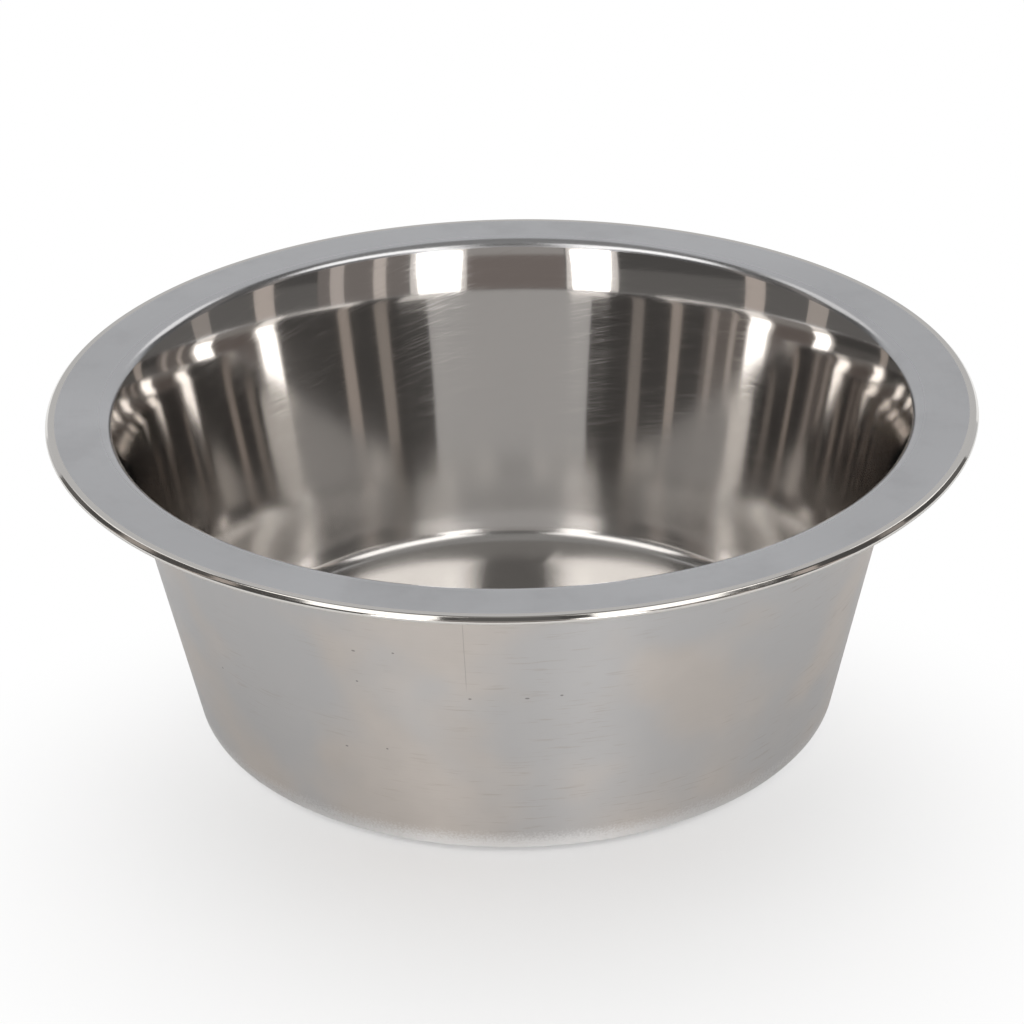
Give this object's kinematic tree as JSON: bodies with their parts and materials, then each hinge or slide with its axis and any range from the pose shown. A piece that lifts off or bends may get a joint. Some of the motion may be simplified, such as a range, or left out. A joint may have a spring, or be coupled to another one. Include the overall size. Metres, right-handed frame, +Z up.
{
  "type": "pet feeding bowl",
  "caption": "Round stainless steel feeding bowl with a flat floor, a wall that widens upwards, a wide level rim flange and a rolled edge.",
  "frame": {"origin": "middle of the base, on the surface that the bowl stands on", "axes": "+Z up along the bowl's axis of revolution; X and Y level, with the pictured side at -Y"},
  "size_m": [0.28, 0.28, 0.1007],
  "materials": {
    "floor_steel": "polished inside with fine hairlines, satin underneath",
    "wall_steel": "polished inside, half-polished outside with fine lines around the wall",
    "flange_steel": "satin",
    "edge_steel": "polished bare stainless steel"
  },
  "bodies": {
    "root": {"bowl_floor": "floor_steel", "side_wall": "wall_steel", "rim_flange": "flange_steel", "rolled_edge": "edge_steel"}
  },
  "joints": []
}
